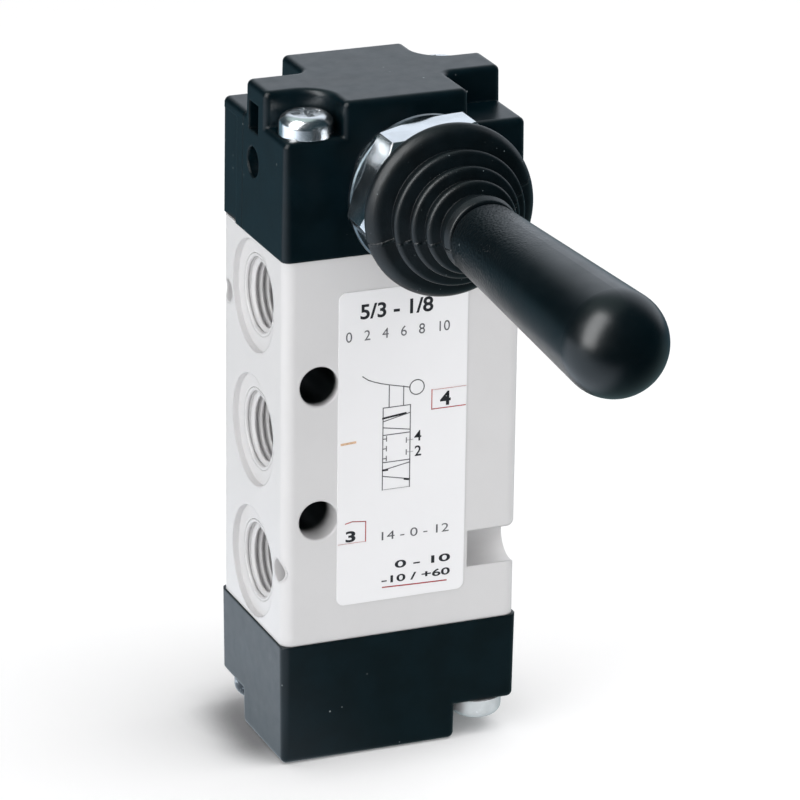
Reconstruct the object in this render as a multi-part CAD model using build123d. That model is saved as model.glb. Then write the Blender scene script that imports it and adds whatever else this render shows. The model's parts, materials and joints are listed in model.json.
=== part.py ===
"""Five-port hand-lever spool valve, in millimetres.

The valve stands on its bottom cap. The origin is the centre of the foot face and +Z is up.
The lever points along -Y, the side with three ports faces -X and the side with two faces +X.
"""

from build123d import *
import os
from math import asin, atan2, cos, hypot, radians, sin, sqrt, tan

# Valve body, an aluminium bar
body_width = 32.0
body_depth = 22.0
body_height = 51.5
body_corner_radius = 1.5
hole_chamfer = 0.15

# Threaded ports, three on the left side and two on the right
port_thread_radius = 4.864
port_floor_wall = 1.2
port_face_radius = 7.3
port_face_depth = 0.8
port_chamfer = 0.55
port_passage_radius = 3.0

# Mounting holes through the body from front to back
front_hole_radius = 2.6
front_hole_offset = 0.2

# Manifold screw holes through the body from side to side
side_hole_radius = 1.65
side_hole_inset = 1.95
side_hole_end_distance = 10.0
side_counterbore_radius = 3.1
side_counterbore_depth = 6.9

# Caps
bottom_cap_height = 16.3
top_cap_height = 19.9
cap_overhang = 0.18
cap_draft = 0.7
cap_corner_radius = 1.0
cap_edge_radius = 0.8
pocket_draft = 1.0

# Raised cross on the top cap, with a cut-out at each corner
top_cut_depth = 4.5
top_cut_width = 7.7
screw_cut_length = 7.1
plain_cut_length = 8.0
screw_pocket_radius = 4.0
plain_pocket_radius = 1.2

# Two stepped corners under the bottom cap
bottom_cut_depth = 4.6
bottom_cut_width = 8.1
bottom_cut_length = 7.4

# Side slot and the shallow relief on the left face of the top cap
side_slot_width = 3.3
side_slot_height = 3.7
side_slot_depth = 2.2
side_slot_rise = 15.65
relief_depth = 0.2
relief_y = 5.9
relief_height = 14.0

# Cap screws
screw_inset_x = 4.0
screw_inset_y = 3.35
screw_radius = 2.0
screw_head_radius = 3.4
screw_head_height = 2.7
screw_head_rim = 1.3
screw_engagement = 5.6
screw_tip_room = 0.4
screw_recess_width = 0.9
screw_recess_length = 3.8
screw_recess_depth = 1.3
screw_recess_taper = 8.0
screw_hole_clearance = 0.2
thread_clearance = 0.03

# Spool bore and the stack of seals and spacers in it
bore_radius = 7.0
stack_clearance = 0.05
seal_end_distance = 3.25
seal_count = 6
seal_end_gap = 0.03
spacer_inner_radius = 4.3
spacer_groove_depth = 1.1
spacer_flange = 1.22
spacer_hole_margin = 0.35
spacer_hole_count = 6

# Cap seal rings
cap_seal_radius = 8.3
cap_seal_section = 0.7
cap_seal_clearance = 0.04

# Spool
spool_radius = 4.0
spool_clearance = 0.05
waist_radius = 2.6
waist_cone = 0.6
waist_seal_margin = 1.2
waist_foot_margin = 4.1
spool_foot_below_body = 1.1
spool_end_room = 0.6
spool_end_chamfer = 0.5
head_radius = 5.0
head_half_height = 5.2
head_clearance = 0.5
slot_clearance = 0.05
slot_side_clearance = 0.15
slot_depth_past_axis = 2.9

# Lever: the pivot ball, the driving ball and the rod
lever_rise = 9.5
pivot_distance = 12.5
lever_angle = 12.0
lever_droop = 0.7
pivot_ball_radius = 5.0
drive_ball_radius = 2.5
drive_neck_radius = 1.25
drive_arm_radius = 1.9
drive_neck_end = 6.4
drive_arm_sink = 0.5
rod_radius = 2.5
rod_end = 62.0
rod_end_chamfer = 0.5
seat_clearance = 0.06

# Lever collar, a threaded tube screwed into the top cap
collar_radius = 7.0
collar_bore_radius = 5.8
collar_start = 6.0
collar_end_room = 0.1
collar_lip = 1.5
collar_lip_radius = 4.3
collar_end = 25.4
collar_chamfer = 0.5

# Ball seats and their retaining ring, in the collar
seat_fit = 0.03
rear_seat_front = 11.9
rear_seat_throat = 9.3
front_seat_back = 13.1
front_seat_throat = 16.0
front_seat_end = 19.5
front_seat_mouth_radius = 4.6
ring_thickness = 0.9
ring_inner_radius = 4.9
ring_groove_radius = 6.35
ring_gap_angle = 40.0

# Panel nut and washer on the collar
nut_back = 17.7
nut_thickness = 6.0
nut_across_flats = 19.0
nut_turn = 7.9
nut_chamfer = 0.7
nut_corner_room = 0.2
washer_thickness = 1.0
washer_radius = 10.05
washer_clearance = 0.2
washer_chamfer = 0.2

# Rubber boot: a rolled flange and four shrinking rings
boot_back = 23.8
boot_flange_radius = 11.0
boot_flange_width = 1.2
boot_rim_radius = 10.2
boot_rim_end = 26.3
boot_wall = 1.1
boot_clearance = 0.1
boot_front_ring_radius = 4.9
boot_first_ring_radius = 8.7
boot_ring_count = 4
boot_first_ring_end = 28.6
boot_ring_pitch = 2.0
boot_groove_depth = 1.1
boot_rod_clearance = 0.4

# Lever grip
grip_start = 36.0
grip_start_radius = 4.65
grip_tip_centre = 72.6
grip_tip_radius = 6.4
grip_start_round = 0.6
grip_bore_clearance = 0.03
grip_bore_room = 0.6

# Detent in the side hole: ball, spring and plug
detent_rise = 0.35
detent_hole_radius = 2.0
detent_ball_radius = 1.75
detent_ball_clearance = 0.04
notch_depth = 0.4
detent_spring_radius = 1.2
detent_wire_radius = 0.2
detent_spring_length = 2.6
detent_spring_turns = 4
plug_length = 3.0
plug_socket_width = 1.5
plug_socket_depth = 1.4

# Label on the front face
label_side_margin = 7.3
label_end_margin = 4.75
label_thickness = 0.12
label_x = -0.1
label_corner_radius = 1.0

# How far a cut runs past a face, and how edges are found for rounding
cut_overrun = 1.0
edge_margin = 1.0
edge_tolerance = 0.01
upright_share = 0.9

# Heights and places that follow from the sizes above
body_bottom = bottom_cap_height
body_top = body_bottom + body_height
body_middle = body_bottom + body_height / 2
valve_top = body_top + top_cap_height
top_cut_floor = valve_top - top_cut_depth
lever_height = body_top + lever_rise
half_width = body_width / 2
half_depth = body_depth / 2
port_thread_length = half_width - bore_radius - port_face_depth - port_floor_wall
front_hole_x = front_hole_offset - (bore_radius + half_width) / 2
side_hole_y = half_depth - side_hole_inset
side_hole_spacing = body_height - 2 * side_hole_end_distance
arm_half_width = half_width - top_cut_width
side_arm_long = half_depth - screw_cut_length
side_arm_short = half_depth - plain_cut_length
bottom_cut_x = half_width - bottom_cut_width
bottom_cut_y = half_depth - bottom_cut_length
screw_x = half_width - screw_inset_x
screw_y = half_depth - screw_inset_y
seal_pitch = (body_height - 2 * seal_end_distance) / (seal_count - 1)
port_pitch = 2 * seal_pitch
front_hole_spacing = port_pitch
middle_waist_half = seal_pitch / 2 - waist_seal_margin
outer_waist_start = seal_pitch * 3 / 2 + waist_seal_margin
outer_waist_end = seal_pitch * 5 / 2 - waist_foot_margin
label_width = body_width - 2 * label_side_margin
label_height = body_height - 2 * label_end_margin
cap_front = half_depth + cap_overhang
stroke = pivot_distance * radians(lever_angle)
detent_height = lever_height + detent_rise
seal_section_radius = (bore_radius - spool_radius) / 2 - spool_clearance
seal_mean_radius = (bore_radius + spool_radius) / 2
stack_radius = bore_radius - stack_clearance
head_bottom = lever_height - head_half_height
head_top = lever_height + head_half_height
cavity_radius = head_radius + head_clearance
cavity_top = head_top + stroke + spool_end_room
screw_hole_depth = screw_engagement + screw_tip_room
lever_axis = Axis(origin=(0, 0, lever_height), direction=(0, -1, 0))
lever_plane = Plane(origin=(0, 0, lever_height), x_dir=(0, -1, 0), z_dir=(-1, 0, 0))
diagonal_screws_top = [(-screw_x, -screw_y), (screw_x, screw_y)]
diagonal_screws_bottom = [(screw_x, -screw_y), (-screw_x, screw_y)]


def rod_between(start, end, radius):
    """A solid cylinder of one radius from one point to another."""
    run = Vector(*end) - Vector(*start)
    return extrude(Plane(origin=start, z_dir=run) * Circle(radius), run.length)


def box_between(low, high):
    """A box from its lowest to its highest corner."""
    size = [b - a for a, b in zip(low, high)]
    centre = [(a + b) / 2 for a, b in zip(low, high)]
    return Pos(*centre) * Box(*size)


def turned_on_lever(points):
    """A solid turned about the lever axis; a point is (distance in front of the spool axis, radius)."""
    return revolve(make_face(lever_plane * Polyline(*points, close=True)), lever_axis)


def turned_on_spool(points):
    """A solid turned about the spool axis; a point is (radius, height)."""
    return revolve(make_face(Plane.XZ * Polyline(*points, close=True)), Axis.Z)


def ball_on_lever(distance, radius):
    """A ball centred on the lever axis."""
    return Pos(0, -distance, lever_height) * Sphere(radius)


def one_solid(shape):
    """The one solid of a shape that a cut or a join has wrapped in a list."""
    solids = shape.solids()
    return solids[0] if len(solids) == 1 else shape


def port_places():
    """Each port as (side, height): side is -1 on the left and 1 on the right."""
    left = [(-1, body_middle + step * port_pitch) for step in (-1, 0, 1)]
    right = [(1, body_middle + step * port_pitch / 2) for step in (-1, 1)]
    return left + right


def port_cut(side, height):
    """Spot face, chamfered thread bore and passage of one port, down to the spool bore."""
    face = side * half_width
    floor = side * (half_width - port_face_depth)
    thread_end = side * (half_width - port_face_depth - port_thread_length)
    start = face + side * cut_overrun
    cut = rod_between((start, 0, height), (floor, 0, height), port_face_radius)
    cut += rod_between((floor, 0, height), (thread_end, 0, height), port_thread_radius)
    cut += rod_between((thread_end, 0, height), (side * spool_radius, 0, height), port_passage_radius)
    mouth = Plane(origin=(floor, 0, height), z_dir=(-side, 0, 0)) * Circle(port_thread_radius + port_chamfer)
    cut += extrude(mouth, port_chamfer, taper=45)
    return cut


def side_hole_places():
    """Each side-to-side hole as (y, height): the lower one in front and the upper one behind."""
    rise = side_hole_spacing / 2
    return [(-side_hole_y, body_middle - rise), (side_hole_y, body_middle + rise)]


def make_valve_body():
    """The bar with its spool bore, ports, mounting holes and screw holes."""
    bar = box_between((-half_width, -half_depth, body_bottom), (half_width, half_depth, body_top))
    bar = fillet(bar.edges().filter_by(Axis.Z), body_corner_radius)
    bar -= rod_between((0, 0, body_bottom), (0, 0, body_top), bore_radius)
    for side, height in port_places():
        bar -= port_cut(side, height)
    for step in (-1, 1):
        height = body_middle + step * front_hole_spacing / 2
        front = (front_hole_x, -half_depth, height)
        bar -= rod_between(front, (front_hole_x, half_depth, height), front_hole_radius)
        for face in (-1, 1):
            rim = Plane(origin=(front_hole_x, face * half_depth, height), z_dir=(0, -face, 0))
            bar -= extrude(rim * Circle(front_hole_radius + hole_chamfer), hole_chamfer, taper=45)
    for y, height in side_hole_places():
        bar -= rod_between((-half_width, y, height), (half_width, y, height), side_hole_radius)
        seat = half_width - side_counterbore_depth
        bar -= rod_between((seat, y, height), (half_width + cut_overrun, y, height), side_counterbore_radius)
    tapped = screw_radius + thread_clearance
    for x, y in diagonal_screws_top:
        bar -= rod_between((x, y, body_top), (x, y, body_top - screw_hole_depth), tapped)
    for x, y in diagonal_screws_bottom:
        bar -= rod_between((x, y, body_bottom), (x, y, body_bottom + screw_hole_depth), tapped)
    return one_solid(bar)


def cap_block(start, height, direction):
    """A cap's drafted block, widest at the body, with rounded upright edges."""
    width = body_width + 2 * cap_overhang
    outline = RectangleRounded(width, body_depth + 2 * cap_overhang, cap_corner_radius)
    plane = Plane(origin=(0, 0, start), z_dir=(0, 0, direction))
    return extrude(plane * outline, height, taper=cap_draft)


def corner_pocket(x_sign, y_sign, inner_x, inner_y, corner_radius, floor, direction):
    """A cut-out of one corner of a cap beyond inner_x and inner_y, rounded at its inside corner."""
    outer_x = half_width + cut_overrun
    outer_y = half_depth + cut_overrun
    points = [(inner_x, inner_y), (outer_x, inner_y), (outer_x, outer_y), (inner_x, outer_y)]
    signed = [(x_sign * x, y_sign * y) for x, y in points]
    outline = make_face(Polyline(*signed, close=True))
    inside = outline.vertices().sort_by_distance((x_sign * inner_x, y_sign * inner_y, 0))[0]
    outline = fillet(inside, corner_radius)
    plane = Plane(origin=(0, 0, floor), z_dir=(0, 0, direction))
    if direction < 0:
        outline = outline.mirror(Plane.XZ)
    return extrude(plane * outline, top_cut_depth + bottom_cut_depth, taper=-pocket_draft)


def seal_groove(face, direction):
    """The groove for a cap's seal ring, cut into the cap from the face that meets the body."""
    depth = 2 * (cap_seal_section + cap_seal_clearance)
    half = cap_seal_section + cap_seal_clearance
    ring = Circle(cap_seal_radius + half) - Circle(cap_seal_radius - half)
    return extrude(Plane(origin=(0, 0, face), z_dir=(0, 0, direction)) * ring, depth)


def make_top_cap():
    """The upper cap: cross-shaped top, lever bore, spool cavity, detent hole, side slot and relief."""
    cap = cap_block(body_top, top_cap_height, 1)
    cap -= corner_pocket(-1, -1, arm_half_width, side_arm_long, screw_pocket_radius, top_cut_floor, 1)
    cap -= corner_pocket(1, 1, arm_half_width, side_arm_long, screw_pocket_radius, top_cut_floor, 1)
    cap -= corner_pocket(1, -1, arm_half_width, side_arm_short, plain_pocket_radius, top_cut_floor, 1)
    cap -= corner_pocket(-1, 1, arm_half_width, side_arm_short, plain_pocket_radius, top_cut_floor, 1)
    cap = round_cap_edges(cap, valve_top, top_cut_floor)
    cap -= rod_between((0, 0, body_top), (0, 0, cavity_top), cavity_radius)
    seat = collar_start - collar_end_room
    front = (0, -cap_front, lever_height)
    cap -= rod_between(front, (0, -seat, lever_height), collar_radius + thread_clearance)
    cap -= rod_between(front, (0, 0, lever_height), collar_lip_radius)
    left = (-half_width - cut_overrun, 0, detent_height)
    cap -= rod_between(left, (0, 0, detent_height), detent_hole_radius)
    cap -= seal_groove(body_top, 1)
    for x, y in diagonal_screws_top:
        cap -= rod_between((x, y, body_top), (x, y, valve_top), screw_radius + screw_hole_clearance)
    slot_middle = body_top + side_slot_rise
    slot_low = (-half_width - cut_overrun, -side_slot_width / 2, slot_middle - side_slot_height / 2)
    slot_high = (-half_width + side_slot_depth, side_slot_width / 2, slot_middle + side_slot_height / 2)
    cap -= box_between(slot_low, slot_high)
    relief_low = (-half_width - cut_overrun, relief_y, body_top)
    relief_high = (-half_width + relief_depth, half_depth + cut_overrun, body_top + relief_height)
    cap -= box_between(relief_low, relief_high)
    return one_solid(cap)


def round_cap_edges(cap, end_face, cut_floor):
    """Rounds the edges of a cap's end face, of its corner cut-outs and of the arms between them."""
    low = min(end_face, cut_floor) - edge_tolerance
    high = max(end_face, cut_floor) + edge_tolerance
    ends = cap.edges().filter_by_position(Axis.Z, end_face - edge_tolerance, end_face + edge_tolerance)
    floors = cap.edges().filter_by_position(Axis.Z, cut_floor - edge_tolerance, cut_floor + edge_tolerance)
    outer = [e for e in floors if on_outside(e)]
    upright = [e for e in cap.edges().filter_by_position(Axis.Z, low, high) if is_arm_corner(e)]
    return fillet(list(ends) + outer + upright, cap_edge_radius)


def on_outside(edge):
    """True where the middle of an edge lies on the outside of a cap."""
    middle = edge @ 0.5
    return abs(middle.X) > half_width - edge_margin or abs(middle.Y) > half_depth - edge_margin


def is_arm_corner(edge):
    """True for an upright edge where a cut-out's wall meets the outside of a cap."""
    run = (edge @ 1) - (edge @ 0)
    upright = abs(run.Z) > upright_share * run.length and run.length > edge_margin
    return upright and on_outside(edge)


def make_bottom_cap():
    """The lower cap: two stepped corners underneath, the room for the spool's end and the seal groove."""
    cap = cap_block(body_bottom, bottom_cap_height, -1)
    cap -= corner_pocket(1, -1, bottom_cut_x, bottom_cut_y, screw_pocket_radius, bottom_cut_depth, -1)
    cap -= corner_pocket(-1, 1, bottom_cut_x, bottom_cut_y, screw_pocket_radius, bottom_cut_depth, -1)
    cap = round_cap_edges(cap, 0, bottom_cut_depth)
    room = spool_foot_below_body + stroke + spool_end_room
    cap -= rod_between((0, 0, body_bottom - room), (0, 0, body_bottom), spool_radius + head_clearance)
    cap -= seal_groove(body_bottom, -1)
    for x, y in diagonal_screws_bottom:
        cap -= rod_between((x, y, 0), (x, y, body_bottom), screw_radius + screw_hole_clearance)
    return one_solid(cap)


def cap_screw(x, y, seat, tip):
    """A cheese-head screw with a cross recess; its head lies on seat, and its shank ends at tip."""
    out = 1 if seat > tip else -1
    plane = Plane(origin=(x, y, seat), z_dir=(0, 0, out))
    head = extrude(plane * Circle(screw_head_radius), screw_head_height)
    rim = head.edges().filter_by(GeomType.CIRCLE).sort_by(Axis.Z)[-1 if out > 0 else 0]
    head = fillet(rim, screw_head_height - screw_head_rim)
    shank = rod_between((x, y, seat), (x, y, tip), screw_radius)
    recess = Rectangle(screw_recess_length, screw_recess_width)
    recess += Rectangle(screw_recess_width, screw_recess_length)
    top = Plane(origin=(x, y, seat + out * screw_head_height), z_dir=(0, 0, -out))
    return one_solid(head + shank - extrude(top * recess, screw_recess_depth, taper=screw_recess_taper))


def make_top_cap_screws():
    """Both screws of the top cap."""
    tip = body_top - screw_engagement
    return Compound(children=[cap_screw(x, y, top_cut_floor, tip) for x, y in diagonal_screws_top])


def make_bottom_cap_screws():
    """Both screws of the bottom cap."""
    tip = body_bottom + screw_engagement
    return Compound(children=[cap_screw(x, y, bottom_cut_depth, tip) for x, y in diagonal_screws_bottom])


def seal_height(index):
    """Height of one spool seal, counted from the lowest."""
    return body_middle + (index - (seal_count - 1) / 2) * seal_pitch


def make_spool_seal(index):
    """One round seal on the spool."""
    return Pos(0, 0, seal_height(index)) * Torus(seal_mean_radius, seal_section_radius)


def make_port_spacer(index):
    """The ring between two seals, with a groove round it and radial holes that let the air through."""
    gap = seal_section_radius + seal_end_gap
    low = seal_height(index) + gap
    high = seal_height(index + 1) - gap
    middle = (low + high) / 2
    ring = rod_between((0, 0, low), (0, 0, high), stack_radius)
    groove_width = high - low - 2 * spacer_flange
    band = Circle(stack_radius + cut_overrun) - Circle(stack_radius - spacer_groove_depth)
    groove = extrude(Plane.XY.offset(low + spacer_flange) * band, groove_width)
    ring -= rod_between((0, 0, low), (0, 0, high), spacer_inner_radius)
    ring -= groove
    for turn in range(spacer_hole_count):
        hole = rod_between((0, 0, middle), (stack_radius, 0, middle), groove_width / 2 - spacer_hole_margin)
        ring -= Rot(0, 0, 360 * (turn + 0.5) / spacer_hole_count) * hole
    return one_solid(ring)


def make_guide_bush(low, high):
    """A plain ring that guides the spool at one end of the stack."""
    outer = Circle(stack_radius) - Circle(spool_radius + spool_clearance)
    return one_solid(extrude(Plane.XY.offset(low) * outer, high - low))


def make_upper_bush():
    """The guide bush under the top cap."""
    low = seal_height(seal_count - 1) + seal_section_radius + seal_end_gap
    return make_guide_bush(low, body_top - stack_clearance)


def make_lower_bush():
    """The guide bush over the bottom cap."""
    high = seal_height(0) - seal_section_radius - seal_end_gap
    return make_guide_bush(body_bottom + stack_clearance, high)


def make_cap_seal(face, direction):
    """The seal ring between a cap and the body."""
    centre = face + direction * (cap_seal_section + cap_seal_clearance)
    return Pos(0, 0, centre) * Torus(cap_seal_radius, cap_seal_section)


def spool_side():
    """The spool's turned outline from its foot to the top of its head, as (radius, height)."""
    foot = body_bottom - spool_foot_below_body
    points = [(0, foot), (spool_radius - spool_end_chamfer, foot), (spool_radius, foot + spool_end_chamfer)]
    waists = [
        (-outer_waist_end, -outer_waist_start),
        (-middle_waist_half, middle_waist_half),
        (outer_waist_start, outer_waist_end),
    ]
    for low, high in waists:
        points.append((spool_radius, body_middle + low))
        points.append((waist_radius, body_middle + low + waist_cone))
        points.append((waist_radius, body_middle + high - waist_cone))
        points.append((spool_radius, body_middle + high))
    points.append((spool_radius, head_bottom))
    points.append((head_radius - spool_end_chamfer, head_bottom))
    points.append((head_radius, head_bottom + spool_end_chamfer))
    points.append((head_radius, head_top - spool_end_chamfer))
    points.append((head_radius - spool_end_chamfer, head_top))
    points.append((0, head_top))
    return points


def make_spool():
    """The spool, with the slot for the driving ball and the three detent notches in its head."""
    spool = turned_on_spool(spool_side())
    half_slot = drive_ball_radius + slot_clearance
    side = drive_ball_radius + slot_side_clearance
    low = (-side, -head_radius - cut_overrun, lever_height - half_slot)
    high = (side, slot_depth_past_axis, lever_height + half_slot)
    spool -= box_between(low, high)
    for step in (-1, 0, 1):
        height = detent_height + step * stroke
        points = [(-head_radius - notch_depth, height - 2 * notch_depth)]
        points.append((-head_radius + notch_depth, height))
        points.append((-head_radius - notch_depth, height + 2 * notch_depth))
        notch = make_face(Plane.XZ * Polyline(*points, close=True))
        spool -= extrude(notch, drive_ball_radius, both=True)
    return one_solid(spool)


def hung(shape):
    """A shape in front of the pivot, turned about the pivot by the small angle at which the lever hangs."""
    to_pivot = Pos(0, -pivot_distance, lever_height)
    return to_pivot * Rot(lever_droop, 0, 0) * to_pivot.inverse() * shape


def make_lever_rod():
    """The steel rod with its pivot ball and, at its inner end, the driving ball."""
    arm_start = pivot_distance - pivot_ball_radius + drive_arm_sink
    inner = [(0, 0), (0, drive_neck_radius), (drive_neck_end, drive_neck_radius)]
    inner.append((arm_start, drive_arm_radius))
    inner.append((pivot_distance, drive_arm_radius))
    inner.append((pivot_distance, 0))
    outer = [(pivot_distance, 0), (pivot_distance, rod_radius), (rod_end - rod_end_chamfer, rod_radius)]
    outer.append((rod_end, rod_radius - rod_end_chamfer))
    outer.append((rod_end, 0))
    rod = ball_on_lever(pivot_distance, pivot_ball_radius) + turned_on_lever(inner)
    rod += ball_on_lever(0, drive_ball_radius)
    rod += hung(turned_on_lever(outer))
    return one_solid(rod)


def make_lever_collar():
    """The threaded tube that carries the lever, with an inner lip and the groove of the retaining ring."""
    lip_end = collar_start + collar_lip
    points = [(collar_start, collar_lip_radius), (collar_start, collar_radius - collar_chamfer)]
    points.append((collar_start + collar_chamfer, collar_radius))
    points.append((collar_end - collar_chamfer, collar_radius))
    points.append((collar_end, collar_radius - collar_chamfer))
    points.append((collar_end, collar_bore_radius))
    points.append((front_seat_end + ring_thickness + 2 * seat_fit, collar_bore_radius))
    points.append((front_seat_end + ring_thickness + 2 * seat_fit, ring_groove_radius + seat_fit))
    points.append((front_seat_end, ring_groove_radius + seat_fit))
    points.append((front_seat_end, collar_bore_radius))
    points.append((lip_end, collar_bore_radius))
    points.append((lip_end, collar_lip_radius))
    return turned_on_lever(points)


def seat_radius(distance):
    """Radius of the ball seats' hollow at a distance in front of the spool axis."""
    return sqrt((pivot_ball_radius + seat_clearance) ** 2 - (distance - pivot_distance) ** 2)


def make_rear_seat():
    """The seat behind the pivot ball, against the collar's lip."""
    back = collar_start + collar_lip + seat_fit
    outer = collar_bore_radius - seat_fit
    throat = seat_radius(rear_seat_throat)
    points = [(back, throat), (back, outer), (rear_seat_front, outer), (rear_seat_front, throat)]
    ring = turned_on_lever(points)
    return one_solid(ring - ball_on_lever(pivot_distance, pivot_ball_radius + seat_clearance))


def make_front_seat():
    """The seat in front of the pivot ball, open towards the lever's swing."""
    outer = collar_bore_radius - seat_fit
    throat = seat_radius(front_seat_throat)
    points = [(front_seat_back, throat), (front_seat_back, outer), (front_seat_end - seat_fit, outer)]
    points.append((front_seat_end - seat_fit, front_seat_mouth_radius))
    points.append((front_seat_throat, throat))
    ring = turned_on_lever(points)
    return one_solid(ring - ball_on_lever(pivot_distance, pivot_ball_radius + seat_clearance))


def make_retaining_ring():
    """The open spring ring in the collar's groove."""
    back = front_seat_end + seat_fit
    front = back + ring_thickness
    points = [(back, ring_inner_radius), (back, ring_groove_radius)]
    points.append((front, ring_groove_radius))
    points.append((front, ring_inner_radius))
    ring = turned_on_lever(points)
    half = ring_groove_radius * sin(radians(ring_gap_angle / 2))
    low = (-half, -front - cut_overrun, lever_height - 2 * ring_groove_radius)
    return one_solid(ring - box_between(low, (half, -back + cut_overrun, lever_height)))


def make_panel_nut():
    """The hexagon nut on the collar, chamfered at both ends."""
    front = nut_back + nut_thickness
    corner = nut_across_flats / 2 / cos(radians(30))
    start = Plane(origin=(0, -nut_back, lever_height), x_dir=(1, 0, 0), z_dir=(0, -1, 0))
    hexagon = RegularPolygon(corner, 6, rotation=nut_turn)
    prism = extrude(start * hexagon, nut_thickness)
    flat = nut_across_flats / 2
    rise = (corner - flat) * tan(radians(30)) + nut_chamfer / 4
    points = [(nut_back, 0), (nut_back, flat)]
    points.append((nut_back + rise, corner + nut_corner_room))
    points.append((front - rise, corner + nut_corner_room))
    points.append((front, flat))
    points.append((front, 0))
    nut = prism & turned_on_lever(points)
    bore = collar_radius + thread_clearance
    hole = [(nut_back, 0), (nut_back, bore + nut_chamfer), (nut_back + nut_chamfer, bore)]
    hole.append((front - nut_chamfer, bore))
    hole.append((front, bore + nut_chamfer))
    hole.append((front, 0))
    return one_solid(nut - turned_on_lever(hole))


def make_washer():
    """The round washer behind the nut; it hangs on the collar by its clearance."""
    back = nut_back - washer_thickness
    inner = collar_radius + washer_clearance
    points = [(back, inner), (back, washer_radius - washer_chamfer), (back + washer_chamfer, washer_radius)]
    points.append((nut_back - washer_chamfer, washer_radius))
    points.append((nut_back, washer_radius - washer_chamfer))
    points.append((nut_back, inner))
    return Pos(0, 0, -washer_clearance) * turned_on_lever(points)


def boot_ring_radii():
    """Outer radius of each bellows ring, from the first behind to the last in front."""
    step = (boot_first_ring_radius - boot_front_ring_radius) / (boot_ring_count - 1)
    return [boot_first_ring_radius - index * step for index in range(boot_ring_count)]


def make_rubber_boot():
    """The stepped rubber boot: a flange round the collar's end and rings that shrink towards the rod."""
    inner = collar_radius + boot_clearance
    points = [(boot_back, inner), (boot_back, boot_flange_radius - boot_flange_width / 2)]
    points.append((boot_back + boot_flange_width / 2, boot_flange_radius))
    points.append((boot_back + boot_flange_width, boot_flange_radius))
    points.append((boot_rim_end, boot_rim_radius))
    radii = boot_ring_radii()
    place = boot_rim_end
    points.append((place, radii[0] - boot_groove_depth))
    for index, radius in enumerate(radii):
        ring_end = boot_first_ring_end + index * boot_ring_pitch
        points.append((place + boot_ring_pitch / 3, radius))
        points.append((ring_end, radius))
        place = ring_end
        if index + 1 < len(radii):
            points.append((place, radii[index + 1] - boot_groove_depth / 2))
    front = boot_first_ring_end + (boot_ring_count - 1) * boot_ring_pitch + boot_wall / 2
    rod_room = rod_radius + boot_rod_clearance
    points.append((front, radii[-1] - boot_wall / 2))
    points.append((front, rod_room))
    points.append((front - 2 * boot_wall, rod_room))
    for index in reversed(range(boot_ring_count)):
        ring_end = boot_first_ring_end + index * boot_ring_pitch
        inside = max(radii[index] - boot_wall, rod_room)
        if inside > rod_room:
            points.append((ring_end - boot_wall, inside))
            points.append((ring_end - boot_ring_pitch, inside))
    points.append((collar_end + boot_clearance, radii[0] - boot_wall))
    points.append((collar_end + boot_clearance, inner))
    return turned_on_lever(points)


def make_handle_grip():
    """The tapered grip: a cone that runs smoothly into a ball end, with a blind bore for the rod."""
    run = grip_tip_centre - grip_start
    slope = asin(grip_tip_radius / hypot(run, grip_start_radius)) - atan2(grip_start_radius, run)
    touch = (grip_tip_centre - grip_tip_radius * sin(slope), grip_tip_radius * cos(slope))
    end = (grip_tip_centre + grip_tip_radius, 0)
    middle_angle = (radians(90) + slope) / 2
    middle = (grip_tip_centre + grip_tip_radius * cos(middle_angle), grip_tip_radius * sin(middle_angle))
    start = (grip_start, grip_start_radius)
    outline = [Line((grip_start, 0), start), Line(start, touch)]
    outline.append(ThreePointArc(touch, middle, end))
    outline.append(Line(end, (grip_start, 0)))
    grip = revolve(make_face(lever_plane * Curve(outline)), lever_axis)
    start_edge = grip.edges().filter_by(GeomType.CIRCLE).sort_by(Axis.Y)[-1]
    grip = fillet(start_edge, grip_start_round)
    bore = rod_radius + grip_bore_clearance
    grip -= rod_between((0, -grip_start, lever_height), (0, -rod_end - grip_bore_room, lever_height), bore)
    return hung(one_solid(grip))


def detent_ball_x():
    """Place of the detent ball's centre: it rides on the head between its notches."""
    return -(head_radius + detent_ball_clearance + detent_ball_radius)


def make_detent_ball():
    """The steel ball that the spring presses towards the spool's head."""
    return Pos(detent_ball_x(), 0, detent_height) * Sphere(detent_ball_radius)


def detent_spring_start():
    """Place where the spring's end coil meets the ball, at the coil's own radius."""
    reach = detent_ball_radius + detent_wire_radius
    return detent_ball_x() - sqrt(reach ** 2 - detent_spring_radius ** 2) - detent_ball_clearance


def make_detent_spring():
    """The small helical spring behind the ball."""
    pitch = detent_spring_length / detent_spring_turns
    coil = Helix(pitch, detent_spring_length, detent_spring_radius)
    wire = Plane(origin=coil @ 0, z_dir=coil % 0) * Circle(detent_wire_radius)
    spring = sweep(wire, path=coil)
    return one_solid(Pos(detent_spring_start(), 0, detent_height) * Rot(0, -90, 0) * spring)


def make_detent_plug():
    """The set screw that holds the spring, with a hexagon socket."""
    inner = detent_spring_start() - detent_spring_length - detent_wire_radius - detent_ball_clearance
    outer = inner - plug_length
    radius = detent_hole_radius - thread_clearance
    plug = rod_between((inner, 0, detent_height), (outer, 0, detent_height), radius)
    mouth = Plane(origin=(outer, 0, detent_height), z_dir=(1, 0, 0))
    socket = RegularPolygon(plug_socket_width / 2, 6, major_radius=False)
    return one_solid(plug - extrude(mouth * socket, plug_socket_depth))


def make_label():
    """The printed film on the front face."""
    plane = Plane(origin=(label_x, -half_depth, body_middle), x_dir=(1, 0, 0), z_dir=(0, -1, 0))
    outline = RectangleRounded(label_width, label_height, label_corner_radius)
    return one_solid(extrude(plane * outline, label_thickness))


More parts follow.
